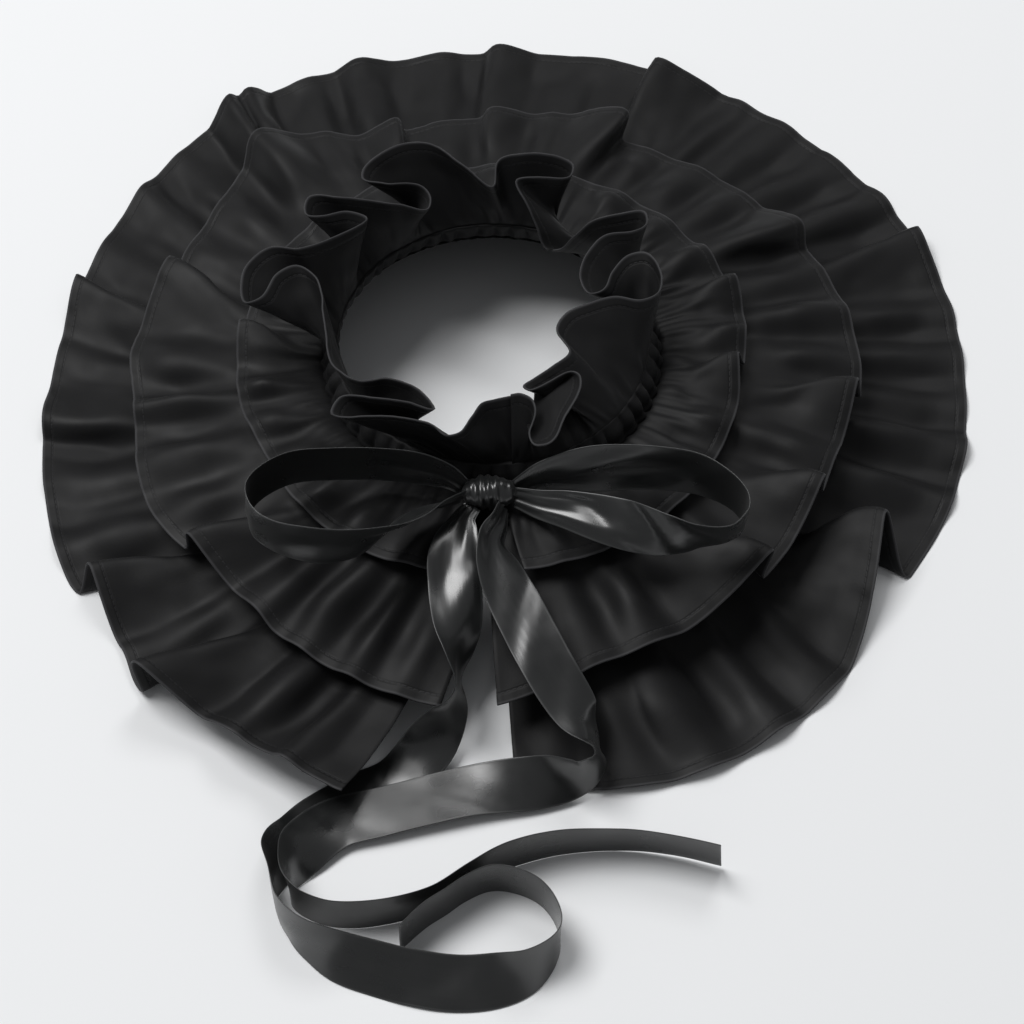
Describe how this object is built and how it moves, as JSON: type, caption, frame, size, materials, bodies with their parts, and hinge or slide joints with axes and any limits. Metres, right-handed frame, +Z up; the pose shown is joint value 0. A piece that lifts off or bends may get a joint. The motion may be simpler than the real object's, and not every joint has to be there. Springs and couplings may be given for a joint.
{
  "type": "ruffled neck collar",
  "caption": "Black costume collar of gathered, flounced tiers and an upright neck ruffle on a drawstring casing, tied in front with a satin ribbon bow and laid flat.",
  "frame": {"origin": "middle of the bounding box in plan, on the surface the collar lies on", "axes": "+Z up from the surface, -Y the front where the bow is tied and its tails trail, +Y the back of the neck, +X the viewer's right seen from the front"},
  "size_m": [0.4763, 0.5991, 0.1026],
  "materials": {
    "sateen": "soft matte black cotton sateen",
    "casing_cloth": "matte black gathered cotton",
    "satin_ribbon": "glossy black satin"
  },
  "bodies": {
    "root": {"outer_tier": "sateen", "middle_tier": "sateen", "top_tier": "sateen", "neck_ruffle": "sateen", "neck_band": "casing_cloth", "bow_knot": "satin_ribbon", "bow_loop_left": "satin_ribbon", "bow_loop_right": "satin_ribbon", "tail_left": "satin_ribbon", "tail_right": "satin_ribbon"}
  },
  "joints": []
}
